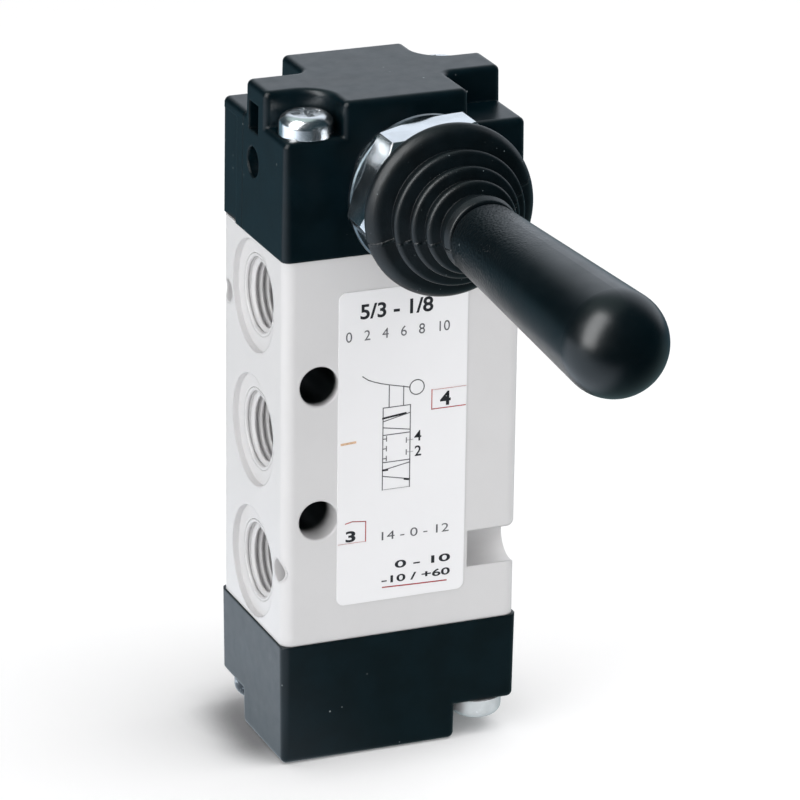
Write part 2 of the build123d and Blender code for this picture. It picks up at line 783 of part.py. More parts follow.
def make_parts():
    """Every piece by its name."""
    parts = {
        "valve_body": make_valve_body(),
        "top_cap": make_top_cap(),
        "bottom_cap": make_bottom_cap(),
        "top_cap_screws": make_top_cap_screws(),
        "bottom_cap_screws": make_bottom_cap_screws(),
        "top_cap_seal": make_cap_seal(body_top, 1),
        "bottom_cap_seal": make_cap_seal(body_bottom, -1),
        "upper_bush": make_upper_bush(),
        "lower_bush": make_lower_bush(),
        "spool": make_spool(),
        "lever_collar": make_lever_collar(),
        "rear_ball_seat": make_rear_seat(),
        "front_ball_seat": make_front_seat(),
        "retaining_ring": make_retaining_ring(),
        "lever_rod": make_lever_rod(),
        "handle_grip": make_handle_grip(),
        "panel_nut": make_panel_nut(),
        "panel_washer": make_washer(),
        "rubber_boot": make_rubber_boot(),
        "detent_ball": make_detent_ball(),
        "detent_spring": make_detent_spring(),
        "detent_plug": make_detent_plug(),
        "label": make_label(),
    }
    for index in range(seal_count):
        parts[f"spool_seal_{index + 1}"] = make_spool_seal(index)
    for index in range(seal_count - 1):
        parts[f"port_spacer_{index + 1}"] = make_port_spacer(index)
    return parts


os.makedirs("parts", exist_ok=True)
for name, shape in make_parts().items():
    export_step(shape, f"parts/{name}.step")
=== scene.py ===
"""Looks of the five-port hand-lever valve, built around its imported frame.

Lengths are in metres in the frame's own axes. The valve stands on its bottom cap with +Z up,
the lever points along -Y, and the side with three ports faces -X. Sizes written in millimetres
are multiplied by MM where a mesh or a material needs them.
"""

from __future__ import annotations

import json
import logging
from collections.abc import Mapping, Sequence
from dataclasses import dataclass, field
from enum import Enum
from math import cos, pi, radians, sin, tan

import bmesh
import bpy
from mathutils import Matrix, Vector

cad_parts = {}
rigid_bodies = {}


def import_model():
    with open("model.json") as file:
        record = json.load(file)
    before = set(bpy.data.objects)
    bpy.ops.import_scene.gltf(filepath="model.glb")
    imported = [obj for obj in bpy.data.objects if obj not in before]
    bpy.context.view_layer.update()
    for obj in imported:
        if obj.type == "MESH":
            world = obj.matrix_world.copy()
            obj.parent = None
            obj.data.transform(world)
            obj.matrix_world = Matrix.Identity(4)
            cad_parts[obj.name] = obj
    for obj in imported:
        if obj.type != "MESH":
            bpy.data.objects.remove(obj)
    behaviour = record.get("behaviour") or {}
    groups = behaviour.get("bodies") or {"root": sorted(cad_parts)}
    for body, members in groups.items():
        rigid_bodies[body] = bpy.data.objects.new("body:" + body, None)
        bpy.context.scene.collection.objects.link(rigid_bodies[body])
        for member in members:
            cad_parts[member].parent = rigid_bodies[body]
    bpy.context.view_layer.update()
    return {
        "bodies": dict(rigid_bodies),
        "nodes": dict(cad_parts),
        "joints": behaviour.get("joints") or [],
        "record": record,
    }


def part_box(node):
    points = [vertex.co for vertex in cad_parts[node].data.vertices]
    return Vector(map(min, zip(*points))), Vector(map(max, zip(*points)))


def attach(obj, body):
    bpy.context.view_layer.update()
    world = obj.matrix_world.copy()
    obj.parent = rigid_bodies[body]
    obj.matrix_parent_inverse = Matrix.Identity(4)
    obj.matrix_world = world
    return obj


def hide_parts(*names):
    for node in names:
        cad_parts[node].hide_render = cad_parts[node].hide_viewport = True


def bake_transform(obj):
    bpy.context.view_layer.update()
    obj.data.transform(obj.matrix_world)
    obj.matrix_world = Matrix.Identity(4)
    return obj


MM = 0.001
RIGHT = Vector((1.0, 0.0, 0.0))
UP = Vector((0.0, 0.0, 1.0))
LOG = logging.getLogger("valve")
Pair = tuple[float, float]
Colour = tuple[float, float, float]
Settings = Mapping[str, object] | None
Sockets = Mapping[int | str, object] | None
BLACK: Colour = (0.0, 0.0, 0.0)
WHITE: Colour = (1.0, 1.0, 1.0)


def rgba(colour: Sequence[float]) -> tuple[float, float, float, float]:
    """Adds full opacity to a linear colour."""
    return (*colour, 1.0)


class Value:
    """An output socket of a shader tree, on which arithmetic adds Math nodes."""

    def __init__(self, recipe: Recipe, socket: bpy.types.NodeSocket) -> None:
        """Keeps the socket and the recipe that it belongs to."""
        self.recipe = recipe
        self.socket = socket

    def maths(self, operation: str, *terms: Value | float) -> Value:
        """Adds one Math node.

        Args:
            operation: The Math node's operation.
            terms: Its inputs in order, as values or plain numbers.

        Returns:
            The node's result.
        """
        return self.recipe.value("ShaderNodeMath", {"operation": operation}, dict(enumerate(terms)))

    def __add__(self, other: Value | float) -> Value:
        """Adds."""
        return self.maths("ADD", self, other)

    __radd__ = __add__

    def __sub__(self, other: Value | float) -> Value:
        """Subtracts the other from this."""
        return self.maths("SUBTRACT", self, other)

    def __rsub__(self, other: float) -> Value:
        """Subtracts this from a number."""
        return self.maths("SUBTRACT", other, self)

    def __mul__(self, other: Value | float) -> Value:
        """Multiplies."""
        return self.maths("MULTIPLY", self, other)

    __rmul__ = __mul__

    def __pow__(self, power: float) -> Value:
        """Raises to a power."""
        return self.maths("POWER", self, power)

    def __abs__(self) -> Value:
        """Drops the sign."""
        return self.maths("ABSOLUTE", self)

    def larger(self, other: Value) -> Value:
        """The larger of the two."""
        return self.maths("MAXIMUM", self, other)

    def above(self, low: float, high: float) -> Value:
        """Goes smoothly from 0 at low to 1 at high, or the other way round where low is larger.

        Args:
            low: Where the result is 0.
            high: Where the result is 1.

        Returns:
            The smooth step.
        """
        if low > high:
            return 1 - self.above(high, low)
        sockets = {"Value": self, "From Min": low, "From Max": high}
        settings = {"interpolation_type": "SMOOTHSTEP"}
        return self.recipe.value("ShaderNodeMapRange", settings, sockets)


class Recipe:
    """A material or world in the making: one method adds any node."""

    def __init__(self, holder: bpy.types.Material | bpy.types.World) -> None:
        """Starts from an empty tree.

        Args:
            holder: The material or world that the tree belongs to.
        """
        holder.use_nodes = True
        self.tree = holder.node_tree
        self.tree.nodes.clear()

    def node(self, kind: str, settings: Settings = None, sockets: Sockets = None) -> bpy.types.Node:
        """Adds a node.

        Args:
            kind: The node's type.
            settings: Its settings, which are set first.
            sockets: What goes into its inputs, as numbers, colours or values.

        Returns:
            The node.
        """
        made = self.tree.nodes.new(kind)
        for name, setting in (settings or {}).items():
            setattr(made, name, setting)
        for name, given in (sockets or {}).items():
            if isinstance(given, Value):
                self.tree.links.new(given.socket, made.inputs[name])
            else:
                made.inputs[name].default_value = given
        return made

    def value(
        self,
        kind: str,
        settings: Settings = None,
        sockets: Sockets = None,
        output: int | str = 0,
    ) -> Value:
        """Adds a node and gives one of its outputs.

        Args:
            kind: The node's type.
            settings: Its settings.
            sockets: What goes into its inputs.
            output: The output's name or number.

        Returns:
            That output.
        """
        return Value(self, self.node(kind, settings, sockets).outputs[output])

    def millimetres(self, stretch: Sequence[float] = (1.0, 1.0, 1.0)) -> Value:
        """Reads the point's place on the object in millimetres.

        Args:
            stretch: What each axis is multiplied by.

        Returns:
            The place.
        """
        place = self.value("ShaderNodeTexCoord", output="Object")
        scale = tuple(factor / MM for factor in stretch)
        return self.value("ShaderNodeMapping", sockets={"Vector": place, "Scale": scale})

    def axes(self) -> tuple[Value, ...]:
        """How far right, how far back and how high the point is, in millimetres."""
        parts = self.node("ShaderNodeSeparateXYZ", sockets={"Vector": self.millimetres()})
        return tuple(Value(self, parts.outputs[axis]) for axis in "XYZ")

    def noise(self, place: Value, size: float, detail: float = 3.0) -> Value:
        """Fractal noise whose largest features are about size across.

        Args:
            place: Where it is read.
            size: Feature size in the units of place.
            detail: Octaves.

        Returns:
            The noise from 0 to 1.
        """
        sockets = {"Vector": place, "Scale": 1 / size, "Detail": detail, "Roughness": 0.55}
        return self.value("ShaderNodeTexNoise", sockets=sockets, output="Fac")

    def specks(self, place: Value, pitch: float, radius: float, share: float) -> Value:
        """Small round specks, in a share of the cells of a random pattern.

        Args:
            place: Where it is read.
            pitch: Mean distance between cells.
            radius: Radius of a speck, in pitches.
            share: Share of the cells that have a speck.

        Returns:
            1 in a speck and 0 elsewhere, with a soft rim.
        """
        sockets = {"Vector": place, "Scale": 1 / pitch}
        cells = self.node("ShaderNodeTexVoronoi", {"feature": "F1"}, sockets)
        near = Value(self, cells.outputs["Distance"]).above(radius, radius * 0.4)
        random = {"Color": Value(self, cells.outputs["Color"])}
        return near * self.value("ShaderNodeSeparateColor", sockets=random).above(share, share / 2)

    def blend(self, factor: Value | float, first: object, second: object) -> Value:
        """Mixes two colours.

        Args:
            factor: 0 for the first and 1 for the second.
            first: Colour or value.
            second: Colour or value.

        Returns:
            The mixed colour.
        """
        settings = {"data_type": "RGBA", "clamp_factor": True}
        return self.value("ShaderNodeMix", settings, {0: factor, 6: first, 7: second}, 2)

    def dot(self, first: Value, second: Value | Vector) -> Value:
        """The dot product of two vectors."""
        pair = {0: first, 1: second}
        return self.value("ShaderNodeVectorMath", {"operation": "DOT_PRODUCT"}, pair, "Value")

    def rounded(self, radius: float) -> Value:
        """The surface's normal, with edges rounded to a radius in millimetres."""
        return self.value("ShaderNodeBevel", {"samples": 4}, {"Radius": radius * MM}, "Normal")

    def edges(self, width: float) -> Value:
        """0 on the flat, and towards 1 where the surface turns within a width in millimetres."""
        plain = self.value("ShaderNodeNewGeometry", output="Normal")
        return (1 - self.dot(self.rounded(width), plain)).above(0.01, 0.18)

    def ray(self, output: str) -> Value:
        """1 on the rays that an output of Light Path names, and 0 on others."""
        return self.value("ShaderNodeLightPath", output=output)

    def matt(self, colour: Colour) -> Value:
        """A matt surface."""
        return self.value("ShaderNodeBsdfDiffuse", sockets={"Color": rgba(colour)})

    def glow(self, colour: object) -> Value:
        """A surface that shows just a colour, whatever lights it."""
        return self.value("ShaderNodeEmission", sockets={"Color": colour, "Strength": 1.0})

    def either(self, factor: Value, first: Value, second: Value) -> Value:
        """Mixes two surfaces: a factor of 0 gives the first and 1 the second."""
        return self.value("ShaderNodeMixShader", sockets={0: factor, 1: first, 2: second})


@dataclass(frozen=True)
class Finish:
    """A surface finish: colour, gloss and fine relief, each with its own variation.

    Sizes are in millimetres. A pair is where a smooth step starts and ends.
    """

    colour: Colour
    roughness: float
    metallic: float = 0.0
    ior: float = 1.45
    mottle: float = 0.08
    mottle_size: float = 7.0
    mottle_step: Pair = (0.3, 0.7)
    gloss_swing: float = 0.08
    grain_size: float = 0.25
    grain_depth: float = 0.003
    grain_stretch: Colour = (1.0, 1.0, 1.0)
    edge_width: float = 0.2
    # Colour painted in patches along turned edges: a painted highlight where it is lighter than the
    # finish's colour, a darker rim on the label film.
    edge_colour: Colour | None = None
    edge_share: float = 0.5
    edge_step: Pair = (0.3, 0.75)
    speck_share: float = 0.0
    speck_colour: Colour = (0.2, 0.22, 0.23)
    speck_pitch: float = 1.6
    speck_radius: float = 0.09
    rounding: float = 0.08

    def relief(self, recipe: Recipe) -> Value:
        """Height of the fine relief, in millimetres."""
        grain = recipe.noise(recipe.millimetres(self.grain_stretch), self.grain_size, 2.0)
        return grain * self.grain_depth

    def tint(self, recipe: Recipe) -> Value:
        """The colour with its slow variation, a colour painted in patches along turned edges, mostly as
        a painted highlight, and its specks.

        Args:
            recipe: The material in the making.

        Returns:
            The colour.
        """
        place = recipe.millimetres()
        slow = recipe.noise(place, self.mottle_size).above(*self.mottle_step)
        low, high = (
            rgba([min(1.0, part * level) for part in self.colour])
            for level in (1 - self.mottle, 1 + self.mottle)
        )
        shade = recipe.blend(slow, low, high)
        if self.edge_colour is not None:
            # Painted highlight along turned edges, in patches; on the label film the rim is darker
            # instead.
            patches = recipe.noise(place, self.mottle_size / 4).above(*self.edge_step)
            painted_edge = recipe.edges(self.edge_width) * patches * self.edge_share
            shade = recipe.blend(painted_edge, shade, rgba(self.edge_colour))
        if self.speck_share > 0:
            dots = recipe.specks(place, self.speck_pitch, self.speck_radius, self.speck_share)
            shade = recipe.blend(dots, shade, rgba(self.speck_colour))
        return shade

    def metal(self, recipe: Recipe) -> Value | float:
        """How metallic it is."""
        return self.metallic

    def gloss(self, recipe: Recipe) -> Value:
        """Roughness with its slow variation."""
        slow = recipe.noise(recipe.millimetres(), self.mottle_size / 2)
        return (slow - 0.5) * (2 * self.gloss_swing) + self.roughness

    def material(self, name: str) -> bpy.types.Material:
        """Builds the material.

        Args:
            name: Its name.

        Returns:
            The material with its shader.
        """
        made = bpy.data.materials.new(name)
        recipe = Recipe(made)
        bump = {
            "Height": self.relief(recipe),
            "Distance": MM,
            "Strength": 1.0,
            "Normal": recipe.rounded(self.rounding),
        }
        sockets = {
            "Base Color": self.tint(recipe),
            "Roughness": self.gloss(recipe),
            "Metallic": self.metal(recipe),
            "IOR": self.ior,
            "Normal": recipe.value("ShaderNodeBump", sockets=bump),
        }
        surface = recipe.value("ShaderNodeBsdfPrincipled", sockets=sockets)
        recipe.node("ShaderNodeOutputMaterial", sockets={"Surface": surface})
        made.diffuse_color = rgba(self.colour)
        return made


@dataclass(frozen=True)
class BodyPaint(Finish):
    """The body's satin finish, with painted shade deep inside the two holes in its front."""

    hole_x: float = -11.3
    hole_middle: float = 42.05
    hole_rise: float = 9.0
    hole_radius: float = 2.6
    hole_rim: Pair = (0.3, 0.1)
    hole_fade: Pair = (0.15, 1.6)
    front: float = -11.0
    low_hole_stretch: float = 0.34
    low_hole_start: float = 1.3
    hole_colour: Colour = (0.003, 0.005, 0.005)

    def tint(self, recipe: Recipe) -> Value:
        """The satin colour, with painted shade deep inside the holes.

        Args:
            recipe: The material in the making.

        Returns:
            The colour.
        """
        across, away, rise = recipe.axes()
        over = rise - self.hole_middle
        low = over.above(1.0, -1.0)
        aside, off = across - self.hole_x, abs(over) - self.hole_rise
        reach = (aside * aside + off * off) ** 0.5
        inside = reach.above(*(self.hole_radius + margin for margin in self.hole_rim))
        # Painted shade that deepens with the depth into each hole, and starts deeper in the lower hole.
        depth = (away - self.front) * (1 - low * self.low_hole_stretch) - low * self.low_hole_start
        painted_shade = inside * depth.above(*self.hole_fade)
        return recipe.blend(painted_shade, super().tint(recipe), rgba(self.hole_colour))


@dataclass(frozen=True)
class CapPlastic(Finish):
    """Satin moulding with the joint line of its mould down the left side."""

    side: float = -15.7
    joint: float = 3.6
    joint_half_width: float = 0.07
    joint_depth: float = 0.3
    joint_foot: float = 60.0
    joint_fade: float = 0.1
    joint_shade: float = 0.8

    def joint_line(self, recipe: Recipe) -> Value:
        """Finds the joint line.

        Args:
            recipe: The material in the making.

        Returns:
            1 on the line and 0 elsewhere.
        """
        across, away, rise = recipe.axes()
        line = abs(away - self.joint).above(self.joint_half_width * 2, self.joint_half_width)
        on_side = across.above(self.side + self.joint_fade, self.side)
        return line * on_side * rise.above(self.joint_foot, self.joint_foot + self.joint_fade)

    def relief(self, recipe: Recipe) -> Value:
        """Grain with the joint line sunk in it."""
        return super().relief(recipe) - self.joint_line(recipe) * self.joint_depth

    def tint(self, recipe: Recipe) -> Value:
        """The plastic's colour, black in the joint line."""
        line = self.joint_line(recipe) * self.joint_shade
        return recipe.blend(line, super().tint(recipe), rgba(BLACK))


@dataclass(frozen=True)
class ScrewPlate(Finish):
    """Bright plating that differs on the two low screws.

    The one at the back is darkened in patches with painted shade, as it stands in the valve's own
    shade, and the one in front has a pale, matt bloom.
    """

    low: float = 25.0
    bloom: float = 0.75
    tarnish: Colour = (0.04, 0.045, 0.05)
    tarnish_size: float = 0.9
    tarnish_step: Pair = (0.8, 0.55)

    def metal(self, recipe: Recipe) -> Value | float:
        """Full metal, but for the pale bloom on the low screw in front."""
        across, _, rise = recipe.axes()
        return 1 - across.above(-1.0, 1.0) * rise.above(self.low, self.low - 1) * self.bloom

    def tint(self, recipe: Recipe) -> Value:
        """The plating's colour, with patches of painted shade on the low screw at the back.

        Args:
            recipe: The material in the making.

        Returns:
            The colour.
        """
        across, _, rise = recipe.axes()
        # Painted shade, in patches, on the low screw at the back, which stands in the valve's own
        # shade.
        there = across.above(1.0, -1.0) * rise.above(self.low, self.low - 1)
        patches = recipe.noise(recipe.millimetres(), self.tarnish_size).above(*self.tarnish_step)
        return recipe.blend(there * patches, super().tint(recipe), rgba(self.tarnish))


@dataclass(frozen=True)
class BootRubber(Finish):
    """Moulded rubber with the raised line that the two halves of the mould leave along it."""

    axis_height: float = 77.3
    seam_angle: float = -163.3
    seam_width: float = 0.3
    seam_core: float = 0.06
    seam_height: float = 0.22
    seam_wobble: float = 1.2
    seam_step: Pair = (0.2, 0.7)

    def relief(self, recipe: Recipe) -> Value:
        """Grain with the mould line on both sides of the lever's axis.

        Args:
            recipe: The material in the making.

        Returns:
            The height in millimetres.
        """
        across, _, rise = recipe.axes()
        angle = radians(self.seam_angle)
        off_plane = (rise - self.axis_height) * cos(angle) - across * sin(angle)
        line = abs(off_plane).above(self.seam_width, self.seam_core)
        wobble = recipe.noise(recipe.millimetres(), self.seam_wobble).above(*self.seam_step)
        return super().relief(recipe) + line * wobble * self.seam_height


@dataclass(frozen=True)
class GripPlastic(Finish):
    """Black moulding whose leather grain fades out towards the ball end."""

    grain_start: float = 40.0
    grain_end: float = 62.0
    fine_depth: float = 0.002

    def relief(self, recipe: Recipe) -> Value:
        """Grain that is deep near the boot and nearly gone at the tip.

        Args:
            recipe: The material in the making.

        Returns:
            The height in millimetres.
        """
        place = recipe.millimetres()
        fade = (recipe.axes()[1] * -1).above(self.grain_end, self.grain_start)
        cells = {"Vector": place, "Scale": 1 / self.grain_size}
        pebbles = recipe.value("ShaderNodeTexVoronoi", {"feature": "SMOOTH_F1"}, cells)
        fine = recipe.noise(place, self.grain_size / 2, 2.0)
        return pebbles * fade * self.grain_depth + fine * self.fine_depth


@dataclass(frozen=True)
class Ink(Finish):
    """A thin satin printing ink."""

    roughness: float = 0.4
    mottle: float = 0.3
    mottle_size: float = 0.6
    grain_size: float = 0.12
    grain_depth: float = 0.001
    rounding: float = 0.01


class Finishes(Enum):
    """The finish of each material slot, and of what the scene adds."""

    BODY_PAINT = BodyPaint(
        (0.655, 0.65, 0.655), 0.42, mottle=0.012, grain_size=0.16, grain_depth=0.0022,
        edge_colour=(0.8, 0.8, 0.81), rounding=0.3,
    )
    CAP_PLASTIC = CapPlastic(
        (0.0002, 0.0055, 0.0085), 0.32, ior=1.31, mottle=0.2, mottle_size=4.0, grain_size=0.18,
        grain_depth=0.006, edge_width=0.4, edge_colour=(0.03, 0.05, 0.055), edge_share=0.4,
        speck_share=0.2, speck_colour=(0.24, 0.27, 0.28), speck_radius=0.1, rounding=0.5,
    )
    SCREW_PLATE = ScrewPlate(
        (0.75, 0.77, 0.79), 0.24, metallic=1.0, mottle=0.06, mottle_size=1.5, grain_size=0.3,
        edge_colour=(0.9, 0.92, 0.93), rounding=0.1,
    )
    NUT_PLATE = Finish(
        (0.66, 0.69, 0.72), 0.2, metallic=1.0, mottle_size=2.5, grain_size=0.6,
        grain_depth=0.006, edge_colour=(0.9, 0.92, 0.95), edge_width=0.3, speck_share=0.1,
        speck_colour=(0.3, 0.33, 0.36), rounding=0.15,
    )
    WASHER_PLATE = Finish(
        (0.1, 0.125, 0.14), 0.3, metallic=1.0, mottle=0.3, mottle_size=1.5, grain_size=0.4,
        grain_depth=0.004, edge_colour=(0.3, 0.33, 0.36), rounding=0.1,
    )
    COLLAR_PLATE = Finish(
        (0.6, 0.62, 0.64), 0.28, metallic=1.0, mottle_size=3.0, edge_colour=(0.8, 0.82, 0.84)
    )
    BOOT_RUBBER = BootRubber(
        (0.0001, 0.0035, 0.0055), 0.42, ior=1.38, mottle=0.3, mottle_size=3.0, grain_size=0.2,
        grain_depth=0.02, speck_share=0.4, speck_colour=(0.16, 0.2, 0.21), speck_pitch=0.9,
        speck_radius=0.1, rounding=0.02,
    )
    GRIP_PLASTIC = GripPlastic(
        (0.0001, 0.0032, 0.005), 0.32, ior=1.4, mottle=0.2, mottle_size=6.0, grain_size=0.34,
        grain_depth=0.06, speck_share=0.12, speck_colour=(0.15, 0.18, 0.19), rounding=0.1,
    )
    ROD_STEEL = Finish(
        (0.5, 0.5, 0.51), 0.25, metallic=1.0, mottle=0.05, grain_size=0.1,
        grain_stretch=(1.0, 6.0, 1.0),
    )
    SPOOL_METAL = Finish(
        (0.72, 0.73, 0.75), 0.22, metallic=1.0, mottle=0.04, grain_size=0.12,
        grain_stretch=(1.0, 1.0, 6.0),
    )
    SEAL_RUBBER = Finish((0.02, 0.02, 0.022), 0.5, mottle=0.2, grain_size=0.1)
    SPACER_PLASTIC = Finish((0.75, 0.73, 0.66), 0.4, mottle=0.04, grain_size=0.3)
    BUSH_BRASS = Finish(
        (0.7, 0.5, 0.2), 0.25, metallic=1.0, mottle=0.06, grain_size=0.12,
        grain_stretch=(1.0, 1.0, 6.0),
    )
    LABEL_FILM = Finish(
        (0.855, 0.855, 0.87), 0.3, ior=1.4, mottle=0.006, mottle_size=12.0, gloss_swing=0.04,
        grain_size=0.5, grain_depth=0.0008, edge_colour=(0.7, 0.7, 0.7), edge_width=0.1,
        edge_share=0.4, rounding=0.03,
    )
    BLACK_INK = Ink((0.018, 0.019, 0.024), mottle_size=0.5)
    GREY_INK = Ink((0.12, 0.12, 0.13), mottle=0.35)
    RED_INK = Ink((0.42, 0.05, 0.05))
    ORANGE_INK = Ink((0.68, 0.45, 0.28), mottle=0.15, mottle_size=0.5)


class FinishShop:
    """Builds each finish's material once and puts it on pieces."""

    def __init__(self) -> None:
        """Starts with no material built."""
        self.made: dict[Finishes, bpy.types.Material] = {}

    def paint(self, piece: bpy.types.Object, finish: Finishes) -> None:
        """Gives a piece one finish all over.

        Args:
            piece: The object.
            finish: Its finish.
        """
        if finish not in self.made:
            self.made[finish] = finish.value.material(finish.name.lower())
        if not piece.material_slots:
            piece.data.materials.append(None)
        for place in piece.material_slots:
            place.link = "OBJECT"
            place.material = self.made[finish]

    def paint_frame(self, frame: Mapping[str, object]) -> None:
        """Gives every node the finish of its material slot, and the washer its darker one.
        """
        for subpart in frame["record"]["subparts"]:
            finish = Finishes[subpart["material_slot"].upper()]
            self.paint(frame["nodes"][subpart["node"]], finish)
        self.paint(frame["nodes"]["panel_washer"], Finishes.WASHER_PLATE)


@dataclass(frozen=True)
class Corner:
    """A corner of a turned outline: its place along the axis, its radius and its rounding.

    All three are in millimetres.
    """

    along: float
    out: float
    rounding: float = 0.0


def rounded_outline(corners: Sequence[Corner], arc_steps: int = 5) -> list[Vector]:
    """Turns a closed outline's corners into points, with an arc at each rounded corner.

    Args:
        corners: The corners in order.
        arc_steps: Steps in one arc.

    Returns:
        The points as (along, out) in millimetres.
    """
    points: list[Vector] = []
    places = [Vector((corner.along, corner.out)) for corner in corners]
    for index, corner in enumerate(corners):
        here = places[index]
        if corner.rounding == 0:
            points.append(here)
            continue
        before = (places[index - 1] - here).normalized()
        after = (places[(index + 1) % len(places)] - here).normalized()
        half = before.angle(after) / 2
        reach = corner.rounding / tan(half)
        centre = here + (before + after).normalized() * (corner.rounding / sin(half))
        start, end = here + before * reach - centre, here + after * reach - centre
        turn = -start.angle_signed(end) / arc_steps
        points += [centre + Matrix.Rotation(turn * i, 2) @ start for i in range(arc_steps + 1)]
    return points


@dataclass(frozen=True)
class TurningAxis:
    """An axis to turn outlines about: its start, its direction, and a direction out from it."""

    origin: Vector
    direction: Vector
    outward: Vector = UP

    def place(self, along: float, out: float) -> Vector:
        """A point at a distance along the axis and out from it, both in millimetres."""
        return self.origin + (self.direction * along + self.outward * out) * MM


def loop_of(mesh: bmesh.types.BMesh, axis: TurningAxis, outline: Sequence[Sequence[float]]) -> list:
    """Adds a closed loop of edges beside an axis.

    Args:
        mesh: The mesh that it goes into.
        axis: The axis.
        outline: Its corners as (along, out) in millimetres.

    Returns:
        Its vertices and edges.
    """
    verts = [mesh.verts.new(axis.place(*point)) for point in outline]
    return verts + [mesh.edges.new((verts[i - 1], verts[i])) for i in range(len(verts))]


def turn_loop(
    mesh: bmesh.types.BMesh, axis: TurningAxis, outline: Sequence[Vector], steps: int
) -> None:
    """Turns a closed outline fully about an axis.

    Args:
        mesh: The mesh that it goes into.
        axis: The axis.
        outline: Points as (along, out) in millimetres.
        steps: Steps in the full turn.
    """
    bmesh.ops.spin(
        mesh, geom=loop_of(mesh, axis, outline), cent=axis.origin, axis=axis.direction,
        angle=2 * pi, steps=steps, use_merge=True,
    )


@dataclass(frozen=True)
class Thread:
    """A screw thread's ridge. Lengths are in millimetres, widths in shares of the pitch."""

    start: float
    pitch: float
    turns: float
    root_radius: float
    root_share: float
    crest_radius: float
    crest_share: float

    def wind(self, mesh: bmesh.types.BMesh, axis: TurningAxis, steps: int) -> None:
        """Winds the ridge round an axis and closes its ends.

        Args:
            mesh: The mesh that it goes into.
            axis: The axis.
            steps: Steps in one turn.
        """
        wide, narrow = self.pitch * self.root_share / 2, self.pitch * self.crest_share / 2
        profile = [
            (self.start - wide, self.root_radius),
            (self.start - narrow, self.crest_radius),
            (self.start + narrow, self.crest_radius),
            (self.start + wide, self.root_radius),
        ]
        total = round(steps * self.turns)
        advance = axis.direction * (self.pitch * self.turns * MM / total)
        bmesh.ops.spin(
            mesh, geom=loop_of(mesh, axis, profile), cent=axis.origin, axis=axis.direction,
            dvec=advance, angle=2 * pi * self.turns, steps=total,
        )
        ends = [edge for edge in mesh.edges if edge.is_boundary]
        bmesh.ops.holes_fill(mesh, edges=ends, sides=len(profile))


def piece_from(
    mesh: bmesh.types.BMesh, name: str, sharp_angle: float = 35.0
) -> bpy.types.Object:
    """Makes an object from a finished mesh, smooth but for edges sharper than an angle.

    Args:
        mesh: The mesh, which is freed.
        name: The object's name.
        sharp_angle: Edges that turn more than this many degrees stay sharp.

    Returns:
        The object, at the origin.
    """
    bmesh.ops.remove_doubles(mesh, verts=mesh.verts, dist=1e-7)
    bmesh.ops.recalc_face_normals(mesh, faces=mesh.faces)
    data = bpy.data.meshes.new(name)
    mesh.to_mesh(data)
    mesh.free()
    data.shade_smooth()
    data.set_sharp_from_angle(angle=radians(sharp_angle))
    made = bpy.data.objects.new(name, data)
    bpy.context.scene.collection.objects.link(made)
    return made


def lever_line(frame: Mapping[str, object]) -> TurningAxis:
    """The lever's axis, from the spool's axis to the front, at the height of the hinge."""
    hinge = next(joint for joint in frame["joints"] if joint["type"] == "hinge")
    return TurningAxis(Vector((0.0, 0.0, hinge["pos_m"][2])), Vector((0.0, -1.0, 0.0)))


@dataclass
class ThreadedPort:
    """The pipe thread cut into one port, and the broken edge at its mouth.

    Sizes are in millimetres.
    """

    pitch: float = 0.907
    minor_radius: float = 4.283
    crest_share: float = 0.2
    root_share: float = 0.92
    entry: float = -0.1
    sunk: float = 0.02
    mouth: float = -0.57
    mouth_radius: float = 5.02
    mouth_depth: float = 0.5
    mouth_slope: float = 0.2
    rim_lap: float = 0.05
    rim_rounding: float = 0.1
    steps: int = 56

    def build(self, mount: Mapping[str, object], shop: FinishShop) -> bpy.types.Object:
        """Builds the thread of one port.

        Args:
            mount: The port's mount in the record.
            shop: Where the finish comes from.

        Returns:
            The thread.
        """
        out = Vector(mount["axis"])
        length, bore = mount["dims"]["length_mm"], mount["dims"]["r_mm"]
        axis = TurningAxis(Vector(mount["pos_m"]) + out * (length / 2 * MM), -out)
        root = bore + self.sunk
        rim = [
            Corner(self.mouth, root - self.mouth - self.rim_lap),
            Corner(self.mouth, self.mouth_radius, self.rim_rounding),
            Corner(self.mouth + self.mouth_slope, bore),
            Corner(self.mouth + self.mouth_depth, bore),
        ]
        mesh = bmesh.new()
        turn_loop(mesh, axis, rounded_outline(rim, 3), self.steps)
        turns = (length - self.entry) / self.pitch
        ridge = (root, self.root_share, self.minor_radius, self.crest_share)
        Thread(self.entry, self.pitch, turns, *ridge).wind(mesh, axis, self.steps)
        thread = piece_from(mesh, f"thread_of_{mount['name']}", sharp_angle=60.0)
        shop.paint(thread, Finishes.BODY_PAINT)
        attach(thread, "housing")
        return thread


